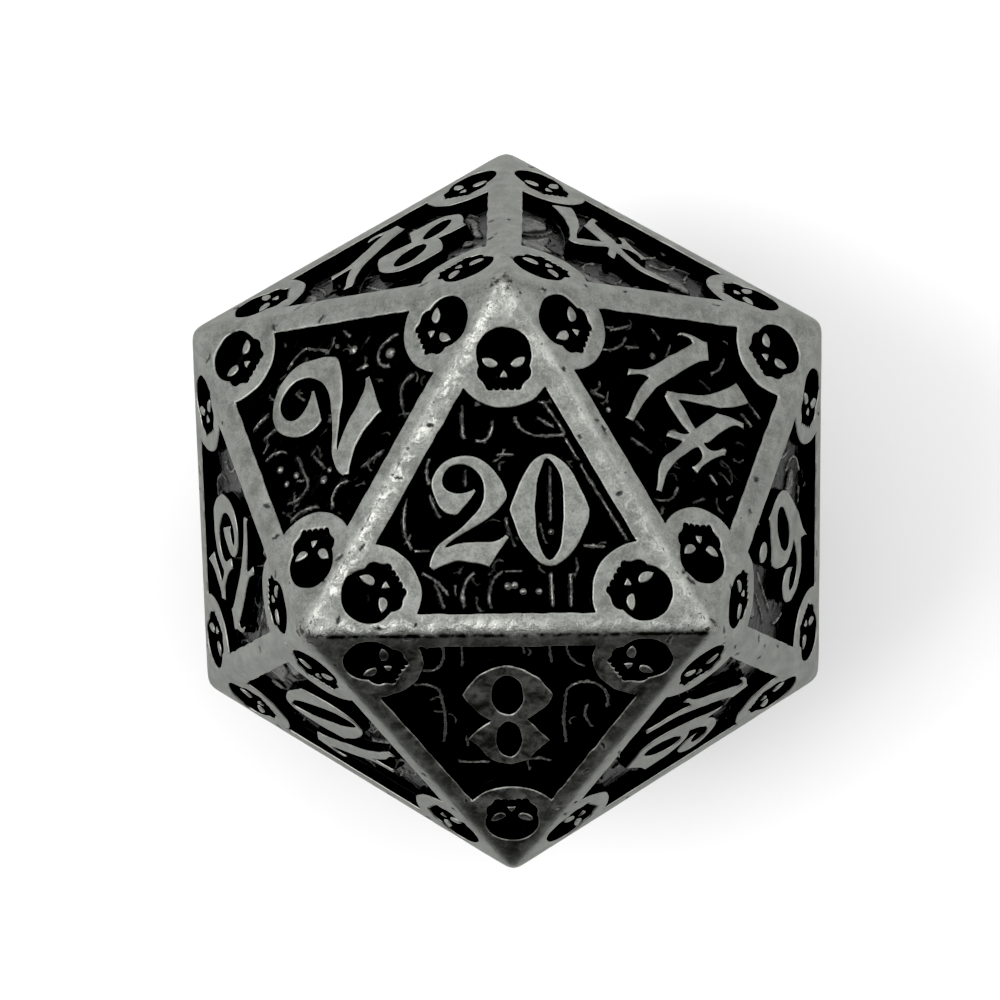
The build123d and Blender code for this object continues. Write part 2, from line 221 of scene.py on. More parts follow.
def top_loops(points, triangles, normal):
    """Outlines of a node's flat top, with its material on their left."""
    cross = normals_by_area(points, triangles)
    facing = cross @ normal > FACING * norm(cross, axis=1)
    height = points[triangles] @ normal
    follow = dict(border_edges(triangles[facing & (height.min(axis=1) > height.max() - LEVEL)]))
    loops = []
    while follow:
        here = min(follow)
        loop = []
        while here in follow:
            loop.append(here)
            here = follow.pop(here)
        loops.append(points[loop])
    return loops


class Face:
    """One face of the die: its plane, its corners and the outlines of its recesses in that plane."""

    def __init__(self, number):
        self.number = number
        skulls = cad_mesh(f"skull_enamel_{number:02d}")
        fields = cad_mesh(f"enamel_field_{number:02d}")
        corners = CORNERS[np.argsort(-(CORNERS @ skulls[0].mean(axis=0)))[:3]]
        self.centre = corners.mean(axis=0)
        self.normal = self.centre / norm(self.centre)
        side = copysign(1, self.normal[2])
        far = norm(corners - [0, 0, side * HALF], axis=1) + LEVEL * side * corners[:, 1]
        up = corners[far.argmax()] - self.centre
        self.up = up / norm(up)
        self.right = np.cross(self.up, self.normal)
        self.corners = CORNER_REACH * directions(np.radians(CORNER_ANGLES))
        self.corner_ids = [int((CORNERS @ self.place(c)[0]).argmax()) for c in self.corners]
        self.field = self.outlines(fields, OUTLINE_STEP)
        self.skulls = self.outlines(skulls, SKULL_STEP)
        self.floor = HALF - (fields[0] @ self.normal).min()

    def outlines(self, node, step):
        return [self.wobbly(resample(self.flat(loop), step)) for loop in top_loops(*node, self.normal)]

    def wobbly(self, loop):
        """The outline as cast, a little uneven."""
        seeds = [first + self.number for first in WOBBLE_SEEDS]
        return loop + OUTLINE_WOBBLE * np.stack([ripple(loop, WOBBLE_SIZE, seed) for seed in seeds], axis=1)

    def flat(self, points):
        return np.stack([(points - self.centre) @ self.right, (points - self.centre) @ self.up], axis=1)

    def place(self, flat):
        flat = np.atleast_2d(flat)
        return self.centre + flat[:, :1] * self.right + flat[:, 1:] * self.up


# ---- curves and distances in a plane ----
def curve_through(points, step, closed=False):
    """Evenly spaced points on a smooth curve through the given ones."""
    wrap = 3 if closed else 0
    if closed:
        points = np.concatenate([points[-wrap:], points, points[:wrap + 1]])
    span = np.diff(points, axis=0)
    chord = norm(span, axis=1)
    at = np.concatenate([[0], np.cumsum(chord)])
    slope = span / chord[:, None]
    tangent = np.empty_like(points)
    tangent[0], tangent[-1] = slope[0], slope[-1]
    if len(points) > 2:
        before, after = chord[:-1, None], chord[1:, None]
        tangent[1:-1] = (slope[:-1] * after + slope[1:] * before) / (before + after)
        tangent[0], tangent[-1] = 2 * slope[0] - tangent[1], 2 * slope[-1] - tangent[-2]
    start, end = at[wrap], at[-1 - wrap]
    where = np.linspace(start, end, max(1, round((end - start) / step)) + 1)
    i = np.clip(np.searchsorted(at, where, side="right") - 1, 0, len(chord) - 1)
    width, t = chord[i][:, None], ((where - at[i]) / chord[i])[:, None]
    return (
        points[i] * (2 * t**3 - 3 * t**2 + 1) + points[i + 1] * (3 * t**2 - 2 * t**3)
        + tangent[i] * width * (t**3 - 2 * t**2 + t) + tangent[i + 1] * width * (t**3 - t**2)
    )


def resample(loop, step):
    """A closed outline at even steps: its corners stay, and it is smooth between them."""
    ahead = np.roll(loop, -1, axis=0) - loop
    heading = np.arctan2(ahead[:, 1], ahead[:, 0])
    turn = (heading - np.roll(heading, 1) + pi) % (2 * pi) - pi
    corners = np.flatnonzero(np.abs(turn) > CORNER_TURN)
    if not len(corners):
        return curve_through(loop, step, closed=True)[:-1]
    loop = np.roll(loop, -corners[0], axis=0)
    corners = corners - corners[0]
    closed = np.concatenate([loop, loop[:1]])
    ends = [*corners[1:], len(loop)]
    return np.concatenate([curve_through(closed[a:b + 1], step)[:-1] for a, b in zip(corners, ends)])


def segments(loops):
    return np.concatenate(loops), np.concatenate([np.roll(l, -1, axis=0) for l in loops])


def nearest_line(points, start, end):
    """Distance from each point to the nearest of a few segments."""
    along = end - start
    length = (along**2).sum(axis=1) + 1e-12
    gap = [points[:, i, None] - start[:, i] for i in range(points.shape[1])]
    t = np.clip(sum(g * a for g, a in zip(gap, along.T)) / length, 0, 1)
    return np.sqrt(sum((g - t * a)**2 for g, a in zip(gap, along.T)).min(axis=1))


def line_distance(points, start, end):
    """Distance from each point to the nearest of many segments, or REACH where none is nearer."""
    result = np.full(len(points), REACH)
    low, high = np.minimum(start, end) - REACH, np.maximum(start, end) + REACH
    close = np.flatnonzero(((points >= low.min(axis=0)) & (points <= high.max(axis=0))).all(axis=1))
    if not len(close):
        return result
    _, cell = np.unique(np.floor(points[close] / CELL), axis=0, return_inverse=True)
    cell = cell.reshape(-1)
    order = np.argsort(cell)
    for ids in np.split(close[order], np.flatnonzero(np.diff(cell[order])) + 1):
        p = points[ids]
        near = ((low <= p.max(axis=0)) & (high >= p.min(axis=0))).all(axis=1)
        if near.any():
            result[ids] = np.minimum(nearest_line(p, start[near], end[near]), REACH)
    return result


def inside(points, start, end):
    """Whether each point is inside the outlines, by the even and odd rule."""
    rise = end[:, 1] - start[:, 1]
    lean = (end[:, 0] - start[:, 0]) / np.where(rise == 0, 1, rise)
    low, high = np.minimum(start[:, 1], end[:, 1]), np.maximum(start[:, 1], end[:, 1])
    result = np.zeros(len(points), bool)
    order = np.argsort(points[:, 1])
    for i in range(0, len(points), BAND):
        ids = order[i:i + BAND]
        x, y = points[ids, None, 0], points[ids, None, 1]
        near = (low <= y.max()) & (high >= y.min())
        a, b, slant = start[near], end[near], lean[near]
        crosses = (a[:, 1] > y) != (b[:, 1] > y)
        result[ids] = (crosses & (x < a[:, 0] + (y - a[:, 1]) * slant)).sum(axis=1) % 2 == 1
    return result


def metal_distance(points, loops):
    """Distance to the nearest outline, above zero on metal and below zero in a recess."""
    start, end = segments(loops)
    distance = line_distance(points, start, end)
    return np.where(inside(points, start, end), -distance, distance)


def add_rings(sheet, loops, distances, constrained):
    """Adds lines of points beside every outline, without those nearer to another one."""
    for distance in distances:
        moved = [offset(loop, distance) for loop in loops]
        reach = metal_distance(np.concatenate(moved), loops) * np.sign(distance)
        good = reach >= 0.9 * abs(distance)
        for line, keep in zip(moved, np.split(good, np.cumsum([len(m) for m in moved])[:-1])):
            sheet.add(line, keep, closed=distance in constrained)


def offset(loop, distance):
    """The outline's points moved sideways, on to the metal for a distance above zero."""
    ahead = unit(np.roll(loop, -1, axis=0) - loop)
    out = np.stack([ahead[:, 1], -ahead[:, 0]], axis=1)
    mean = out + np.roll(out, 1, axis=0)
    mean /= norm(mean, axis=1)[:, None] + 1e-9
    share = np.clip((mean * out).sum(axis=1), 0.6, 1)
    return loop + distance * mean / share[:, None]


def hexagonal(reach, step, rng):
    """Points in a hexagonal pattern over a square, each a little out of place."""
    x, y = np.meshgrid(np.arange(-reach, reach, step), np.arange(-reach, reach, step * sqrt(3) / 2))
    x = x + (np.arange(len(x)) % 2)[:, None] * step / 2
    points = np.stack([x.ravel(), y.ravel()], axis=1)
    return points + rng.uniform(-JITTER, JITTER, points.shape) * step


def edge_inset(points):
    """Distance inwards from the nearest edge of the face."""
    outwards = directions(np.radians(CORNER_ANGLES) + pi)
    return EDGE_REACH - (points @ outwards.T).max(axis=1)


def ripple(points, size, seed, waves=28):
    """A smooth random field of about -1 to 1, with features of the given size in mm."""
    rng = np.random.default_rng(seed)
    direction = unit(rng.normal(size=(waves, points.shape[1])))
    turns = direction * rng.uniform(0.7, 1.5, (waves, 1)) * pi / size
    return np.sin(points @ turns.T + rng.uniform(0, 2 * pi, waves)).sum(axis=1) / sqrt(waves)


def smoothstep(x):
    x = np.clip(x, 0, 1)
    return x * x * (3 - 2 * x)


# ---- triangulation and meshes ----
class Sheet:
    """Points and edges to be joined into triangles."""

    def __init__(self):
        self.points, self.edges = [], []
        self.count = 0

    def add(self, points, keep=None, closed=False):
        """Adds points. A closed line's edges are kept where both of their points are."""
        keep = np.ones(len(points), bool) if keep is None else keep
        ids = np.where(keep, self.count + np.cumsum(keep) - 1, -1)
        self.points.append(points[keep])
        self.count += int(keep.sum())
        if closed:
            pairs = np.stack([ids, np.roll(ids, -1)], axis=1)
            self.edges += pairs[(pairs >= 0).all(axis=1)].tolist()
        return ids

    def triangulate(self):
        """The points in use and the triangles between them."""
        given = np.concatenate(self.points)
        vectors = [Vector(p) for p in given]
        made, _, triangles, origin, _, _ = delaunay_2d_cdt(vectors, self.edges, [], 0, 1e-7)
        points = np.array([given[o[0]] if o else p[:] for p, o in zip(made, origin)])
        return points, np.array([t for t in triangles if len(t) == 3]), [o[0] if o else -1 for o in origin]


def thin_out(points, cell):
    """Leaves at most one point in each small square."""
    _, first = np.unique(np.floor(points / cell).astype(int), axis=0, return_index=True)
    return points[np.sort(first)]


def add_object(name, data):
    thing = bpy.data.objects.new(name, data)
    bpy.context.scene.collection.objects.link(thing)
    return thing


def make_piece(name, points, triangles, attributes, material, node, slot):
    """A smooth mesh from points in mm from the die's middle, in the place of a CAD node."""
    mesh = bpy.data.meshes.new(name)
    mesh.from_pydata((points / MM + np.array(MIDDLE)).tolist(), [], triangles.tolist())
    cross = normals_by_area(points, triangles)
    normals = np.zeros_like(points)
    for i in range(3):
        np.add.at(normals, triangles[:, i], cross)
    normals /= norm(normals, axis=1)[:, None] + 1e-12
    mesh.shade_smooth()
    mesh.normals_split_custom_set_from_vertices(normals.tolist())
    for key, values in attributes.items():
        mesh.attributes.new(key, "FLOAT", "POINT").data.foreach_set("value", values.astype(np.float32))
    mesh.materials.append(material)
    piece = add_object(name, mesh)
    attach(piece, "root")
    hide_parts(node)


def merged(points, triangles, values):
    """Joins equal points, and leaves out triangles that have shrunk to nothing."""
    _, first, same = np.unique(np.round(points, 6), axis=0, return_index=True, return_inverse=True)
    triangles = same.reshape(-1)[triangles]
    whole = (triangles != np.roll(triangles, 1, axis=1)).all(axis=1)
    return points[first], triangles[whole], {k: v[first] for k, v in values.items()}


# ---- casting ----
def on_die(points, normals):
    """Moves points of the sharp-edged die along their rays to the rounded one."""
    ray = unit(points)
    cosine = ray @ normals.T
    reach = HALF / cosine.max(axis=1)
    for _ in range(ROUNDING_STEPS):
        power = np.exp((reach[:, None] * cosine - HALF) / SOFTNESS)
        total = power.sum(axis=1)
        reach -= SOFTNESS * np.log(total) * total / (power * cosine).sum(axis=1)
    return ray * reach[:, None]


def recess_depth(distance, floor):
    """Depth below the face: a rounded rim, a steep wall, and the floor."""
    rim = RIM - np.sqrt(np.clip(RIM**2 - np.clip(RIM - distance, 0, RIM)**2, 0, None))
    wall = RIM + (floor - RIM) * np.clip(-distance / WALL_LEAN, 0, 1)
    return np.where(distance >= 0, rim, wall)


class Nick:
    """A small dent in a strip of the face's frame."""

    def __init__(self, rng):
        angle = radians(rng.choice(CORNER_ANGLES) + 60)
        inwards = -np.array([cos(angle), sin(angle)])
        sideways = np.array([-inwards[1], inwards[0]])
        inset, along = rng.uniform(*NICK_INSET), rng.uniform(-NICK_ALONG, NICK_ALONG) * EDGE
        self.centre = -inwards * (EDGE_REACH - inset) + sideways * along
        turn = rng.uniform(0, pi)
        self.axes = np.array([[cos(turn), sin(turn)], [-sin(turn), cos(turn)]])
        self.size = np.array([rng.uniform(*NICK_LENGTH), rng.uniform(*NICK_WIDTH)])
        self.depth = rng.uniform(*NICK_DEPTH)

    def points(self):
        rings = [np.zeros((1, 2))] + [circle(10) * r for r in NICK_ROWS]
        return self.centre + np.concatenate(rings) * self.size @ self.axes

    def strength(self, points):
        local = (points - self.centre) @ self.axes.T / self.size
        return np.exp(-(local**2).sum(axis=1) * NICK_FALL)


def frame_lines(face, worn_normal):
    """The face's three edges, exact on the sharp die, and lines of points inside them."""
    borders, rows = [], []
    for i in range(3):
        j = (i + 1) % 3
        a, b = sorted((face.corner_ids[i], face.corner_ids[j]))
        worn = (CORNERS[[a, b]] @ worn_normal).min() > HALF - LEVEL
        step, insets = (WORN_STEP, WORN_ROWS) if worn else (EDGE_STEP, EDGE_ROWS)
        t = np.linspace(0, 1, round(EDGE / step) + 1)[:, None]
        borders.append(CORNERS[a] * (1 - t) + CORNERS[b] * t)
        for inset in insets:
            shrink = 1 - inset / EDGE_REACH
            ends = face.corners[[i, j]] * shrink
            t = np.linspace(0, 1, round(EDGE * shrink / step))[1:-1, None]
            rows.append(ends[0] * (1 - t) + ends[1] * t)
    return borders, rows


def casting_sheet(face, loops, nicks, worn_normal, rng):
    """The face's points in its plane, its triangles, and the points on the sharp die."""
    sheet = Sheet()
    borders, rows = frame_lines(face, worn_normal)
    for border in borders:
        ids = sheet.add(face.flat(border))
        sheet.edges += np.stack([ids[:-1], ids[1:]], axis=1).tolist()
    add_rings(sheet, loops, (RIM, 0.5 * RIM, 0.13 * RIM, 0.0, -WALL_LEAN), (0.0, -WALL_LEAN))
    fill = hexagonal(CORNER_REACH, FILL_STEP, rng)
    fill = fill[edge_inset(fill) > EDGE_ROWS[-1] + 0.1]
    loose = thin_out(np.concatenate([*[n.points() for n in nicks], *rows, fill]), WORN_STEP / 2)
    loose = loose[edge_inset(loose) > 0.5 * WORN_ROWS[0]]
    sheet.add(loose, metal_distance(loose, loops) > RIM + CLEARANCE)
    flat, triangles, origin = sheet.triangulate()
    exact, origin = np.concatenate(borders), np.array(origin)
    solid = face.place(flat)
    on_border = (origin >= 0) & (origin < len(exact))
    solid[on_border] = exact[origin[on_border]]
    return flat, triangles, solid


def residue_and_shade(face, solid, inset, from_worn):
    """How dark the residue and the painted shade on the metal are at each point."""
    if face.number != SHADED_PATINA_FACE:
        return np.full(len(solid), USUAL_PATINA)
    # on this face the residue is deepened by painted shade, as the face is turned away from the light
    patina = PATINA_AND_SHADE * (1 - np.exp(-np.clip(inset, 0, None) / PATINA_EDGE))
    near = np.exp(-(from_worn / STRIP_REACH)**4)
    patina = patina * (1 - near) + STRIP_PATINA * near
    # a line of painted shade just under the worn edge, where the rounded edge turns away from the light
    return np.maximum(patina, SHADE_LINE_DARKNESS * np.exp(-((from_worn - SHADE_LINE_INSET) / SHADE_LINE_REACH)**2))


def casting_face(face, faces):
    """One face of the casting: its points, its triangles and its points' values."""
    rng = np.random.default_rng(CASTING_SEED + face.number)
    loops = face.field + face.skulls
    worn_normal = faces[WORN_FACE].normal
    nicks = [Nick(rng) for _ in range(NICKS_PER_FACE)]
    flat, triangles, solid = casting_sheet(face, loops, nicks, worn_normal, rng)
    distance, inset = metal_distance(flat, loops), edge_inset(flat)
    dent = sum(n.strength(flat) * n.depth for n in nicks) * (inset > NICK_CLEAR)
    worn_corners = CORNERS[CORNERS @ worn_normal > HALF - LEVEL]
    from_worn = nearest_line(solid, worn_corners, np.roll(worn_corners, -1, axis=0))
    side = 1 if face.number == WORN_FACE else -1
    share = WEAR_SHEEN_LEAST + (1 - WEAR_SHEEN_LEAST) * smoothstep(0.5 - solid[:, 0] / WEAR_SHEEN_SPREAD)
    # the wear band also carries a painted highlight, strongest towards the lamp
    wear = share * np.exp(-((side * from_worn - WEAR_SHEEN_INSET) / WEAR_SHEEN_REACH)**2)
    placed = on_die(solid, np.array([f.normal for f in faces.values()]))
    uneven = SWELL * (ripple(placed, SWELL_SIZE, SWELL_SEED) - SINK)
    uneven += CRUMBLE * wear * (ripple(placed, CRUMBLE_SIZE, CRUMBLE_SEED) - SINK)
    placed += unit(placed) * (uneven * (distance > 0))[:, None]
    placed -= face.normal * (recess_depth(distance, face.floor) + dent)[:, None]
    from_corner = norm(solid[:, None] - worn_corners, axis=2).min(axis=1)
    return placed, triangles, {
        "wear": wear,
        "paint": np.maximum(smoothstep(dent / NICK_EDGE), distance < -ON_OUTLINE),
        "rim": np.exp(-np.clip(distance, 0, None) / RIM_FADE),
        "patina": residue_and_shade(face, solid, inset, from_worn),
        "dirt": np.exp(-(from_corner / DIRT_REACH)**2),
    }


def casting(faces, material):
    parts = [casting_face(face, faces) for face in faces.values()]
    starts = np.cumsum([0] + [len(part[0]) for part in parts])
    points = np.concatenate([part[0] for part in parts])
    triangles = np.concatenate([part[1] + start for part, start in zip(parts, starts)])
    values = {key: np.concatenate([part[2][key] for part in parts]) for key in parts[0][2]}
    make_piece("metal_casting", *merged(points, triangles, values), material, "cast_body", "cast_metal")


# ---- relief under the enamel ----
# A ridge is a line of points, mm from the face's centre with +Y towards the corner above the numeral.
# A stone is a flat-topped block inside a closed line. A dot is a centre and a radius.
RIDGES = {20: [
    [(-1.36, 3.5), (-1.38, 3), (-1.34, 2.5)], [(-0.4, 2.95), (-0.48, 2.58), (-0.66, 2.37), (-0.88, 2.37)],
    [(0.34, 3.1), (0.5, 2.76), (0.86, 2.56), (1.4, 2.5), (1.84, 2.54)],
    [(1.1, 3.08), (1.32, 2.94), (1.56, 2.8)], [(1.26, 3.6), (1.58, 3.14), (1.9, 2.66)],
    [(2, 2.34), (2.32, 1.78)], [(2.46, 1.5), (3.92, -0.9)], [(-0.22, 1.93), (0.25, 1.93)],
    [(-2.46, 1.8), (-2.54, 1.4), (-2.46, 1)], [(-2.42, 0.57), (-2.17, -0.03)],
    [(-3.2, 0.48), (-3.3, -0.17), (-3.25, -0.65), (-3.08, -1.05)], [(-2.9, -1.16), (-2.5, -1.16)],
    [(0.02, -0.17), (0.12, -0.6), (0.27, -1)], [(-2.65, -1.92), (-2.36, -2.08), (-1.92, -2.56)],
    [(-2.26, -2.3), (-2.05, -2.95)], [(-1.1, -1.92), (-1.33, -2.22), (-1.38, -2.95)],
    [(-0.15, -1.86), (-0.42, -2.12), (-0.53, -2.45), (-0.53, -2.95)], [(0.03, -1.84), (0.48, -1.84)],
    [(1.45, -1.95), (1.47, -2.95)], [(2.06, -2), (2.09, -2.95)], [(1.45, 1.45), (1.45, -0.17)],
    [(1.08, -0.26), (1.17, -0.63)], [(-1.27, 1.4), (-1.29, 0.94)], [(2.55, -1.04), (3.15, -1.09)],
], 8: [
    [(-1.86, 1.6), (-1.84, -0.3), (-1.95, -0.9), (-2.2, -1.1), (-2.74, -1.15), (-3.05, -0.9), (-3.2, 0)],
    [(2.19, 1.54), (2.2, -0.4), (2.32, -0.9), (2.56, -1.06), (3.05, -1.1)],
    [(-1.3, 2.52), (-0.99, 2.42), (-0.43, 2.47)], [(0.76, 2.58), (1.69, 2.53)],
    [(1.39, 1.77), (1.44, 1.42)], [(-2.41, -1.96), (-2.12, -2.17), (-1.93, -2.84)],
    [(-1.4, -2.1), (-1.34, -2.95)], [(-0.53, -2.5), (-0.5, -2.84)], [(1.5, -1.98), (1.46, -2.95)],
    [(2.75, -1.75), (2.33, -1.82), (2.14, -2.15), (2.1, -2.75)],
    [(-2.7, 0.9), (-2.5, 0.45), (-2.55, -0.05)],
], 2: [
    [(-1.82, 3), (-1.42, 2.92), (-1.08, 2.78)], [(-1.84, 2.38), (-1.41, 2.14)],
    [(-2.47, 1.82), (-2.1, 1.63), (-1.87, 1.22)],
    [(-3.25, -0.06), (-2.78, -0.42), (-2.47, -0.44), (-2.1, 0.08), (-1.82, 0.6)],
    [(-1.5, -0.03), (-1.62, -0.63)], [(-2.56, -1.83), (-2.24, -1.62), (-1.86, -1.66), (-1.62, -1.88)],
    [(-0.95, -2.15), (-0.53, -2.38), (-0.17, -2.61)], [(0.57, 3.02), (1.03, 2.95), (1.4, 2.74)],
    [(1.46, 2.6), (1.56, 2.3), (1.72, 1.86)],
    [(2.3, -0.95), (2.22, -0.55), (2.5, -0.26), (2.95, -0.32), (3.3, -0.55)],
    [(1.2, -2.66), (1.5, -2.24), (1.86, -1.98), (2.4, -2.06)],
    [(-3.7, -0.53), (-3.2, -0.8), (-2.84, -1.27)], [(1.66, 0.2), (1.92, -0.05)], [(2.5, 1.25), (2.56, 1.6)],
], 14: [
    [(-2.68, 1), (-2.33, 1.06)], [(-0.66, 3.1), (-0.48, 2.79), (-0.46, 2.32)],
    [(-0.4, -1.68), (-0.08, -1.62)], [(0.03, -2.2), (0.67, -1.83)],
    [(2.1, 0.62), (2.58, 0.78), (2.9, 0.62)], [(2.4, -0.08), (2.72, -0.04)], [(2.9, -0.9), (2.82, -1.35)],
    [(-2.92, -0.2), (-2.78, -0.72), (-2.94, -1.27)], [(-3.2, 0.2), (-3.38, -0.6)],
    [(-2, -2.7), (-1.63, -2.38)], [(2.15, -1.64), (2.32, -2.1), (2.1, -2.66)], [(0.95, 3.02), (1.6, 3.12)],
    [(1.2, 2.52), (1.7, 2.62)],
], 4: [
    [(-1.38, 1.62), (-1.9, 1.22), (-2.4, 1.02), (-2.95, 0.95)],
    [(-1.95, 0.5), (-2.4, 0), (-2.16, -0.44), (-2.3, -0.95), (-1.75, -1.64)],
    [(-1.6, -2), (-1.2, -2.16), (-0.9, -2.1), (-0.49, -1.78)], [(-1, -0.74), (-1.5, -0.95), (-1.8, -1.37)],
    [(1.45, 0.48), (1.9, 0.42), (2.34, 0.6)], [(1.7, -0.05), (1.95, -0.38), (2.3, -0.32), (2.8, 0.02)],
    [(2.46, -1.3), (2.62, -1), (2.9, -0.7)], [(-0.7, -2.8), (-0.45, -2.45), (-0.07, -2.2)],
    [(0.3, 2.6), (0.94, 2.79)],
], 18: [
    [(-1.17, 2.6), (-0.71, 2.42), (-0.16, 2.5)], [(-2.74, -0.53), (-2.18, -0.81)],
    [(-0.34, -1.83), (0.2, -2.12), (0.86, -2.38)], [(-3.1, -1.18), (-2.55, -1.46), (-2.2, -1.8)],
    [(-1.86, -1), (-1.9, -1.5), (-2.1, -1.95)], [(1, 3), (1.5, 2.72)],
], 6: [
    [(1.74, 1.55), (1.78, 1), (1.87, -0.72)], [(2.4, 1.35), (2.46, -0.5), (2.6, -1.09), (3, -1.38)],
    [(-2.92, -0.3), (-2.88, -1), (-2.55, -1.37), (-2, -1.45)], [(-2.55, 0.15), (-2.25, 0.62)],
    [(-1.82, 1.6), (-1.26, 1.03)], [(-0.99, 2.75), (-0.78, 2.3)], [(0.95, 2.72), (1.4, 2.56), (1.7, 2.3)],
    [(-2.46, -1.9), (-1.9, -2.2), (-1.54, -2.84)], [(-1.26, -2.15), (-1.22, -2.95)],
], 16: [
    [(-2.4, 1.28), (-1.8, 1.78)], [(-4.2, -0.75), (-3.47, 0.3), (-2.83, 0.48)],
    [(-2.92, -1.73), (-1.9, -1)], [(-2.46, -2), (-1.63, -1.2)], [(-0.9, 2.5), (-0.4, 2.72), (0.1, 2.7)],
    [(0.25, -2.84), (0.8, -2.4), (1.25, -2.05)], [(1, -2.93), (1.42, -2.56)], [(1.75, -2.4), (2.5, -1.92)],
], 10: [
    [(-0.9, 3.15), (-0.5, 2.7), (-0.07, 2.3)], [(-1.9, 1.9), (-2.08, 1.5), (-1.82, 1.2)],
    [(-2.19, -0.17), (-1.55, -0.63)], [(-2.65, -0.72), (-2.19, -1.18), (-1.6, -1.42), (-1.4, -1.92)],
    [(-2.15, -1.92), (-1.46, -2.56)], [(-0.55, -1), (-0.38, -1.83), (0.1, -2.93)],
    [(0.1, -1.6), (0.57, -2.3), (0.94, -2.93)], [(0.6, -1.9), (1.3, -2.6)],
], 15: [
    [(-2.64, 1.6), (-2.6, 0.2), (-2.65, -0.44), (-2.84, -0.92), (-3.2, -1.07)],
    [(-2.05, 2.6), (-1.64, 2.97), (-1.41, 3.34)], [(2.74, 0.42), (2.96, -0.17), (2.7, -0.7), (2.14, -0.88)],
    [(2.6, -1.5), (2.05, -1.64), (1.77, -2.1), (1.68, -2.75)], [(1.03, -2), (1.12, -2.93)],
    [(-1.82, -2), (-1.82, -2.93)], [(-0.5, -0.07), (0, 0.4)], [(0.7, 2.8), (1, 3.1)],
    [(0.2, -2.3), (0.22, -2.9)],
]}
STONES = {4: [
    [(-2.35, 2.3), (-1.8, 2.42), (-1.42, 2), (-1.5, 1.75), (-2.3, 1.3), (-2.9, 1.1)],
    [(-3.4, 0.35), (-2.7, 0.6), (-1.85, 0.95), (-2.2, 0.45), (-2.55, 0.05), (-2.5, -0.3), (-3.5, -0.2)],
    [(-2.6, -0.7), (-2.25, -1.3), (-1.75, -2), (-1.3, -2.55), (-2.1, -2.7), (-2.3, -1.8)],
    [(1.1, -0.75), (1.9, -0.95), (2.25, -1.6), (1.95, -2.3), (1.4, -1.75), (0.95, -1.7)],
], 18: [
    [(0.95, 2.75), (1.65, 2.4), (2.3, 1.5), (2.85, 0.75), (2.55, 0.85), (1.95, 1.6), (1.4, 2.3)],
    [(2.25, 0.65), (2.65, 0.55), (2.75, 0.25), (2.4, 0.2)],
    [(3.2, 0.15), (3.5, -0.25), (2.7, -0.5), (2.3, -0.35), (2.9, -0.15)],
    [(-2.9, -1.75), (-2.4, -2), (-2.2, -2.6), (-2.75, -2.65)],
], 10: [
    [(1.75, 1.9), (2.25, 2.1), (3.4, 0.6), (2.85, 0.7), (2.25, 1.3)],
    [(2.55, 0.55), (3.45, 0.25), (3.9, -0.6), (3.35, -0.65), (2.95, -0.2)],
    [(1.1, 2.65), (1.5, 2.85), (1.6, 2.4), (1.2, 2.3)],
], 16: [
    [(-2.45, 1.95), (-2.25, 1.5), (-2.7, 1.1), (-3.3, 0.7), (-3, 1.3)],
    [(-3.3, -0.15), (-3.1, -0.2), (-3.05, -1), (-3.25, -1.05)],
    [(1.75, -1.35), (2, -1.45), (2, -1.8), (1.75, -1.75)],
], 6: [
    [(-2.2, -0.45), (-1.65, -0.3), (-1.5, -0.9), (-1.95, -1.2), (-2.4, -1)],
    [(2.95, 0.3), (3.3, -0.1), (3.5, -0.9), (3, -0.9)],
], 15: [
    [(2.15, 0.05), (2.45, 0.35), (2.6, 0.1), (2.35, -0.2)],
    [(-3.6, -0.3), (-3.2, 0.2), (-3, -0.5), (-3.5, -0.85)],
]}
DOTS = {
    20: [(0.05, -2.32, 0.13), (0.25, -2.3, 0.12), (0.53, -2.5, 0.11), (1.03, -2.5, 0.11), (1.45, -0.58, 0.1)],
    2: [(-2.47, 1.06, 0.14), (-2.75, 0.48, 0.11), (-2.33, 0.3, 0.12), (-1.6, -0.89, 0.1), (-1.98, -0.9, 0.14),
        (2.18, 0.82, 0.15), (2, 1.54, 0.09), (2.69, -0.72, 0.19)],
    14: [(-1.95, 0.43, 0.12), (1.92, 1.03, 0.1), (-1.2, -2.45, 0.1)],
    6: [(-2.05, 0.98, 0.14)], 10: [(-2.3, -1.4, 0.14)], 15: [(1.75, 1, 0.14)],
}
CLUTTER = {20: 26, 8: 14, 2: 64, 14: 56}  # how many small stray lines a face has
USUAL_CLUTTER = 24


def patterned_after(faces, face):
    """The face whose relief this one repeats, and -1 if it is turned over, as on a hidden face."""
    if face.number in RIDGES:
        return face.number, 1
    across = min(faces.values(), key=lambda f: float(f.normal @ face.normal))
    return across.number, -1


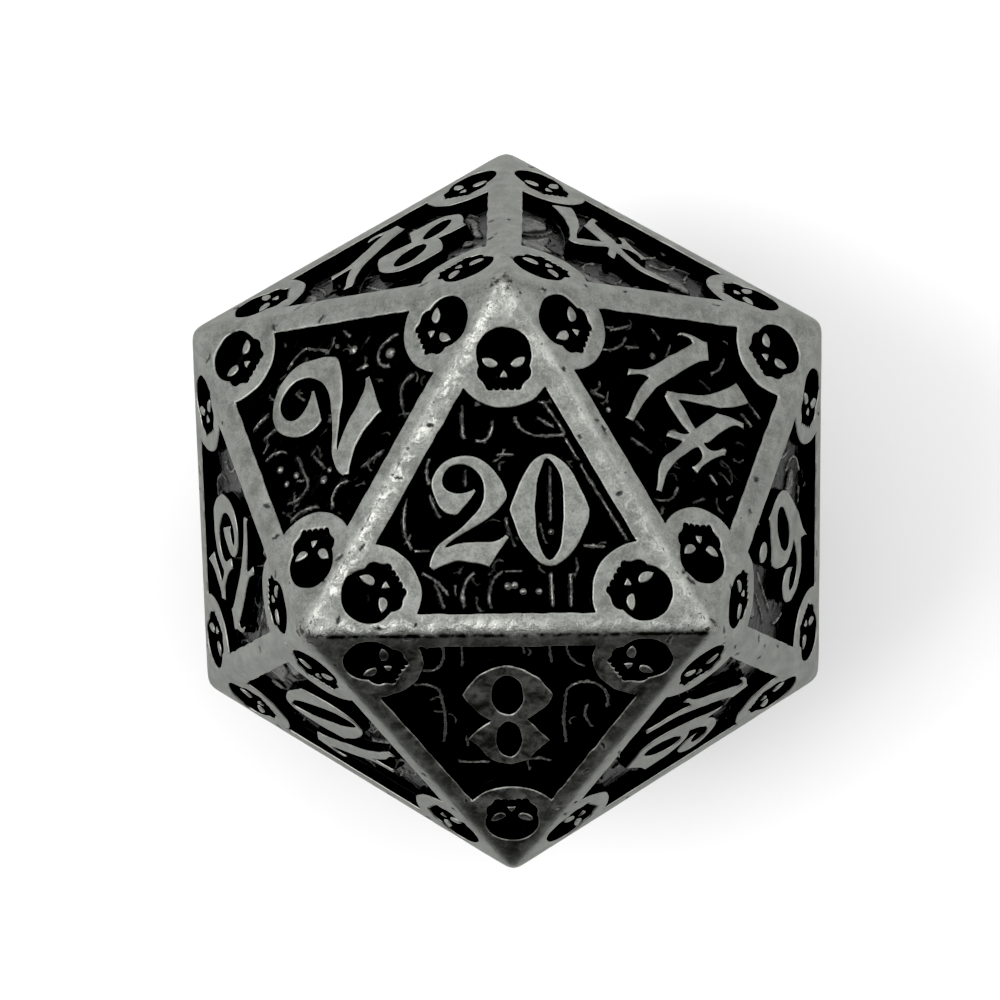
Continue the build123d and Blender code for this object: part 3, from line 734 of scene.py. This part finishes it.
class Relief:
    """The raised pattern of one face, as a height above the enamel's open surface."""

    def __init__(self, faces, face):
        rng = np.random.default_rng(RELIEF_SEED + face.number)
        source, side = patterned_after(faces, face)
        turned = np.array([side, 1.0])
        self.seed = face.number
        self.lines = []
        for line in RIDGES[source]:
            width, height = RIDGE_WIDTH * rng.uniform(0.8, 1.2), RIDGE_HEIGHT * rng.uniform(0.75, 1.1)
            stroke = curve_through(np.array(line) * turned, STROKE_STEP)
            self.lines.append((stroke, width, height, rng.uniform(*RIDGE_SHOWS)))
        stones = [np.array(line) * turned for line in STONES.get(source, [])]
        self.stones = [curve_through(line, STROKE_STEP, closed=True)[:-1] for line in stones]
        self.dots = [(np.array([x, y]) * turned, r) for x, y, r in DOTS.get(source, [])]
        self.lines += [self.stray_line(rng) for _ in range(CLUTTER.get(source, USUAL_CLUTTER))]

    @staticmethod
    def stray_line(rng):
        """A short bent line, lower than the others."""
        centre, heading = rng.uniform(-CLUTTER_SPREAD, CLUTTER_SPREAD, 2), rng.uniform(0, 2 * pi)
        bend, length = rng.uniform(-1.3, 1.3), rng.uniform(0.25, 0.7)
        angles = heading + bend * np.linspace(-1, 1, 6)
        line = centre + np.cumsum(directions(angles) * length / 6, axis=0)
        width, height = CLUTTER_WIDTH * rng.uniform(0.8, 1.3), CLUTTER_HEIGHT * rng.uniform(0.5, 1.2)
        return line, width, height, rng.uniform(*CLUTTER_SHOWS)

    def points(self):
        """Where the mesh needs points: along both sides of every line, and around the stones and dots."""
        found = []
        for line, width, _, _ in self.lines:
            ahead = np.gradient(line, axis=0)
            ahead /= norm(ahead, axis=1)[:, None] + 1e-9
            side = np.stack([ahead[:, 1], -ahead[:, 0]], axis=1)
            found += [line + side * width * s for s in RIDGE_ROWS]
        for stone in self.stones:
            found += [offset(stone, STONE_SHOULDER * s) for s in STONE_ROWS]
        for centre, radius in self.dots:
            found += [centre[None]] + [centre + circle(12) * radius * s for s in DOT_ROWS]
        return np.concatenate(found)

    def height(self, points):
        """Height at each point, and how far the metal shows through the enamel there."""
        result, bare = np.zeros(len(points)), np.zeros(len(points))
        for line, width, height, shows in self.lines:
            near = ((points > line.min(axis=0) - width) & (points < line.max(axis=0) + width)).all(axis=1)
            distance = nearest_line(points[near], line[:-1], line[1:]) / width
            result[near] = np.maximum(result[near], height * np.clip(1 - distance**2, 0, 1)**2)
            bare[near] = np.maximum(bare[near], shows * smoothstep((BARE_WIDTH - distance) / BARE_FADE + 0.5))
        for stone in self.stones:
            reach = -metal_distance(points, [stone])
            result = np.maximum(result, STONE_HEIGHT * smoothstep(0.5 + reach / (2 * STONE_SHOULDER)))
            bare = np.maximum(bare, STONE_SHOWS * smoothstep(reach / STONE_SHOULDER))
        for centre, radius in self.dots:
            distance = norm(points - centre, axis=1) / radius
            result = np.maximum(result, RIDGE_HEIGHT * np.clip(1 - distance**2, 0, 1)**1.5)
            bare = np.maximum(bare, smoothstep((DOT_BARE - distance) / BARE_FADE + 0.5))
        sag = SAG * ripple(points, SAG_SIZE, SAG_SEED + self.seed)
        return result + sag + PIT * ripple(points, PIT_SIZE, PIT_SEED + self.seed), bare


class BrowRelief:
    """A soft brow over each skull's eyes."""

    def __init__(self, face):
        self.seed = BROW_SEED + face.number
        self.lines = []
        for centre in [l.mean(axis=0) for l in face.skulls if np.ptp(l, axis=0).max() > SKULL_LEAST]:
            up = centre / norm(centre)
            right = np.array([up[1], -up[0]])
            line = np.array([centre + right * x + up * y for x, y in BROW])
            self.lines.append(curve_through(line, STROKE_STEP))

    def points(self):
        return np.concatenate(self.lines)

    def height(self, points):
        distance = np.min([nearest_line(points, l[:-1], l[1:]) for l in self.lines], axis=0)
        brow = BROW_HEIGHT * np.clip(1 - (distance / BROW_WIDTH)**2, 0, 1)**2
        return brow + SAG * ripple(points, BROW_SAG_SIZE, self.seed), np.zeros(len(points))


def filled(sheet, loops):
    """The sheet's points, and its triangles that are inside the outlines."""
    points, triangles, _ = sheet.triangulate()
    return points, triangles[inside(points[triangles].mean(axis=1), *segments(loops))]


def enamel_piece(face, name, node, loops, relief, step, material):
    """A closed body of enamel: a film down the walls, the relief on top, and a flat floor underneath."""
    rng = np.random.default_rng(ENAMEL_SEED + face.number)
    sheet, base = Sheet(), Sheet()
    add_rings(sheet, loops, [-d for d in COAT_EDGE], (0,))
    loose = thin_out(np.concatenate([relief.points(), hexagonal(CORNER_REACH, step, rng)]), ENAMEL_GAP)
    sheet.add(loose, -metal_distance(loose, loops) > COAT_EDGE[-1] + ENAMEL_GAP / 2)
    flat, triangles = filled(sheet, loops)
    depth, bare = surface(flat, loops, relief)
    for loop in loops:
        base.add(loop, closed=True)
    points, triangles = closed_body(face, flat, depth, triangles, *filled(base, loops))
    bare = np.concatenate([bare, np.zeros(len(points) - len(flat))])
    number = f"_{face.number:02d}"
    make_piece(name + number, points, triangles, {"bare": bare}, material, node + number, "black_enamel")


def surface(flat, loops, relief):
    """Depth of the enamel's surface below the face, and how far the metal shows through it."""
    inwards = np.clip(-metal_distance(flat, loops), 0, None)
    coat = np.interp(inwards, COAT_EDGE, COAT_DEPTH)
    height, bare = relief.height(flat)
    open_surface = ENAMEL_LEVEL - height
    on_wall = (inwards < ON_OUTLINE) | (coat < open_surface)
    return np.where(on_wall, coat, open_surface), np.where(on_wall, 0, bare)


def closed_body(face, top, depth, top_triangles, base, base_triangles):
    """Joins the top to the floor with walls between their outlines."""
    border = border_edges(top_triangles)
    where = {tuple(np.round(p, 5)): i + len(top) for i, p in enumerate(base)}
    under = {i: where.get(tuple(np.round(top[i], 5))) for edge in border for i in edge}
    walls = []
    for a, b in border:
        if None not in (under[a], under[b]):
            walls += [(a, under[a], under[b]), (a, under[b], b)]
    points = np.concatenate([
        face.place(top) - face.normal * depth[:, None],
        face.place(base) - face.normal * face.floor,
    ])
    triangles = np.concatenate([top_triangles, base_triangles[:, ::-1] + len(top), np.array(walls)])
    return points, triangles


# ---- materials ----
def new_material(name):
    material = bpy.data.materials.new(name)
    material.use_nodes = True
    return material, Nodes(material.node_tree)


class Nodes:
    """Short names for making the nodes of a material, or of the room."""

    def __init__(self, tree):
        self.tree = tree
        self.shader = tree.nodes.get("Principled BSDF")
        self.where = self.add("ShaderNodeTexCoord").outputs["Object"]

    def add(self, kind, settings=None, **inputs):
        node = self.tree.nodes.new(kind)
        for key, value in (settings or {}).items():
            setattr(node, key, value)
        self.give(node, **inputs)
        return node

    def give(self, node, **inputs):
        """Sets a node's inputs, or links them to other nodes' outputs."""
        for key, value in inputs.items():
            self.set(node.inputs[key.replace("_", " ")], value)

    def set(self, socket, value):
        if isinstance(value, bpy.types.NodeSocket):
            self.tree.links.new(value, socket)
        else:
            socket.default_value = value

    def noise(self, size, detail, roughness=0.55, distortion=0.0):
        shape = {"Detail": detail, "Roughness": roughness, "Distortion": distortion}
        return self.add("ShaderNodeTexNoise", Vector=self.where, Scale=MM / size, **shape).outputs["Fac"]

    def attribute(self, name):
        return self.add("ShaderNodeAttribute", {"attribute_name": name}).outputs["Fac"]

    def math(self, operation, a, b):
        node = self.add("ShaderNodeMath", {"operation": operation})
        self.set(node.inputs[0], a)
        self.set(node.inputs[1], b)
        return node.outputs[0]

    def product(self, a, b):
        return self.math("MULTIPLY", a, b)

    def span(self, value, low, high, out_low=0.0, out_high=1.0):
        ends = {"From_Min": low, "From_Max": high, "To_Min": out_low, "To_Max": out_high}
        node = self.add("ShaderNodeMapRange", {"interpolation_type": "SMOOTHSTEP"}, Value=value, **ends)
        return node.outputs["Result"]

    def mix(self, factor, a, b):
        node = self.add("ShaderNodeMix", {"data_type": "RGBA"}, Factor=factor)
        self.set(node.inputs[6], a)
        self.set(node.inputs[7], b)
        return node.outputs[2]

    def blend(self, a, b, share):
        """The first value with a share of the second."""
        return self.math("ADD", self.product(a, 1 - share), self.product(b, share))

    def bump(self, height, distance, strength, **before):
        settings = {"Strength": strength, "Distance": distance / MM, "Height": height}
        return self.add("ShaderNodeBump", **settings, **before).outputs["Normal"]


def cast_metal():
    """Tumbled antique-silver zinc: dark satin, mottled, bright and blotchy where worn and painted with a
    highlight, darkened by residue and painted shade, black in its nicks.
    """
    material, n = new_material("antique_cast_metal")
    broad, mottle, grain = n.noise(BROAD_SIZE, 4), n.noise(MOTTLE_SIZE, 5, 0.65), n.noise(GRAIN_SIZE, 3, 0.7)
    wear, paint, rim, patina, dirt = (n.attribute(a) for a in ("wear", "paint", "rim", "patina", "dirt"))
    tone = n.blend(n.blend(broad, mottle, 0.6), grain, 0.42)
    colour = n.mix(n.span(tone, 0.39, 0.61), METAL_DARK, METAL_LIGHT)
    blotches = n.blend(n.noise(BLOTCH_SIZE, 5, 0.65, 0.8), grain, 0.2)
    # worn metal, with a painted highlight along the worn edges
    bright = n.product(wear, n.span(blotches, 0.49, 0.58))
    colour = n.mix(bright, colour, METAL_WORN_AND_SHEEN)
    colour = n.mix(n.product(rim, RIM_SHINE), colour, METAL_WORN_AND_SHEEN)
    streaks = n.span(n.blend(n.noise(STREAK_SIZE, 4, 0.6, 0.6), broad, 0.4), 0.60, 0.40)
    # residue darkens the metal in streaks, and on face 8 it is also painted shade
    colour = n.mix(n.product(streaks, patina), colour, PATINA_AND_SHADE_COLOUR)
    specks = n.math("SUBTRACT", n.noise(SPECK_SIZE, 3, 0.6), n.product(dirt, DIRT_MORE))
    colour = n.mix(n.product(n.span(specks, 0.31, 0.25), DIRT_SHOWS), colour, DIRT_COLOUR)
    rough = n.span(tone, 0.36, 0.64, *METAL_ROUGH)
    normal = n.bump(grain, 0.008, 0.6, Normal=n.bump(mottle, 0.02, 0.4))
    n.give(
        n.shader,
        Base_Color=n.mix(paint, colour, PAINT_COLOUR),
        Metallic=n.math("SUBTRACT", 1.0, n.product(paint, 0.95)),
        Roughness=n.math("SUBTRACT", rough, n.product(bright, WORN_SMOOTHER)),
        Normal=n.bump(n.product(wear, blotches), 0.2, 0.55, Normal=normal),
        Specular_Tint=METAL_GRAZE,
    )
    return material


def black_enamel():
    """Black enamel with faint sags and grit, rubbed through to the metal along the tops of ridges."""
    material, n = new_material("glossy_black_enamel")
    drips, grit, scuffs = n.noise(DRIP_SIZE, 3, 0.5), n.noise(GRIT_SIZE, 4, 0.6), n.noise(SCUFF_SIZE, 4, 0.6)
    rubbed = n.span(n.blend(scuffs, grit, 0.35), 0.42, 0.60, 0.2, 1.0)
    bare = n.product(n.attribute("bare"), rubbed)
    black = n.mix(n.span(drips, 0.3, 0.7), ENAMEL_DARK, ENAMEL_LIGHT)
    rough = n.span(grit, 0.3, 0.7, *ENAMEL_ROUGH)
    n.give(
        n.shader,
        Base_Color=n.mix(bare, black, METAL_RUBBED),
        Metallic=n.span(bare, 0.1, 0.6),
        Roughness=n.math("ADD", rough, n.product(bare, BARE_ROUGHER)),
        Normal=n.bump(grit, 0.006, 0.5, Normal=n.bump(drips, 0.04, 0.9)),
        Specular_IOR_Level=ENAMEL_SHINE,
        IOR=ENAMEL_IOR,
        Specular_Tint=METAL_GRAZE,
    )
    return material


def pale_floor():
    material, n = new_material("pale_paper")
    colour = n.mix(n.noise(FLOOR_MARKS, 2), FLOOR_DARK, FLOOR_LIGHT)
    n.give(n.shader, Base_Color=colour, Roughness=0.9, Specular_IOR_Level=0.1)
    return material


# ---- stage ----
def sheet_object(name, corners, material):
    mesh = bpy.data.meshes.new(name)
    mesh.from_pydata(corners, [], [(0, 1, 2, 3)])
    mesh.materials.append(material)
    thing = add_object(name, mesh)
    return thing


def floor():
    s = FLOOR_SIZE / 2
    sheet_object("floor", [(-s, -s, 0), (s, -s, 0), (s, s, 0), (-s, s, 0)], pale_floor())


def flag():
    """A black card in front of the die, like someone leaning over it, seen only as a reflection."""
    material, n = new_material("black_card")
    n.give(n.shader, Base_Color=FLAG_COLOUR, Roughness=1.0)
    w, near, far = FLAG_WIDTH / 2, FLAG_PLACE, FLAG_PLACE - FLAG_LEAN
    corners = [(-w, near, 0), (w, near, 0), (w, far, FLAG_HEIGHT), (-w, far, FLAG_HEIGHT)]
    card = sheet_object("flag", corners, material)
    card.visible_camera = card.visible_shadow = card.visible_diffuse = False


def camera():
    turn = Euler(CAMERA_TURN).to_matrix().transposed()
    place = MIDDLE + turn @ Vector(CAMERA_BACK) / MM
    data = bpy.data.cameras.new("camera")
    data.sensor_width, data.lens = SENSOR, LENS
    data.clip_start, data.clip_end = 0.01, 20
    eye = add_object("camera", data)
    eye.matrix_world = Matrix.Translation(place) @ turn.to_4x4()
    bpy.context.scene.camera = eye


def sky():
    """A bright ceiling, a dim room, a dark patch straight above, and less light from the front."""
    world = bpy.data.worlds.new("room")
    bpy.context.scene.world = world
    world.use_nodes = True
    n = Nodes(world.node_tree)
    split = n.add("ShaderNodeSeparateXYZ", Vector=n.add("ShaderNodeTexCoord").outputs["Generated"])
    ramp = n.add("ShaderNodeValToRGB", Fac=split.outputs["Z"])
    peak = max(value for _, value in SKY)
    stops = ramp.color_ramp.elements
    for i, (height, value) in enumerate(SKY):
        stop = stops[i] if i < 2 else stops.new(height)
        stop.position, stop.color = height, (value / peak,) * 3 + (1,)
    front = n.span(split.outputs["Y"], -0.15, -0.65, 0.0, PERSON_SHADE)
    right = n.product(split.outputs["X"], RIGHT_GAIN)
    gain = n.product(n.math("SUBTRACT", 1.0, front), n.math("ADD", 1.0, right))
    level = n.product(n.product(ramp.outputs["Color"], gain), peak)
    seen = n.add("ShaderNodeLightPath").outputs["Is Camera Ray"]
    n.give(world.node_tree.nodes["Background"], Color=n.mix(seen, level, BACKDROP))


def lamp():
    data = bpy.data.lights.new("key", "AREA")
    data.shape, data.size, data.energy = "DISK", LAMP_SIZE, LAMP_POWER
    light = add_object("key", data)
    light.location = LAMP_PLACE
    light.rotation_euler = (MIDDLE - Vector(LAMP_PLACE)).to_track_quat("-Z", "Y").to_euler()


def look():
    view = bpy.context.scene.view_settings
    view.view_transform, view.look = "Standard", "None"
    view.exposure, view.gamma = 0.0, 1.0
    view.use_curve_mapping = True
    view.curve_mapping.black_level = (BLACK_LEVEL,) * 3
    view.curve_mapping.update()


# ---- the whole scene ----
camera()
look()
sky()
lamp()
floor()
flag()
faces = {number: Face(number) for number in range(1, 21)}
metal, enamel = cast_metal(), black_enamel()
casting(faces, metal)
for face in faces.values():
    relief = Relief(faces, face)
    enamel_piece(face, "field_fill", "enamel_field", face.field, relief, ENAMEL_STEP, enamel)
    enamel_piece(face, "skull_fill", "skull_enamel", face.skulls, BrowRelief(face), SKULL_STEP, enamel)
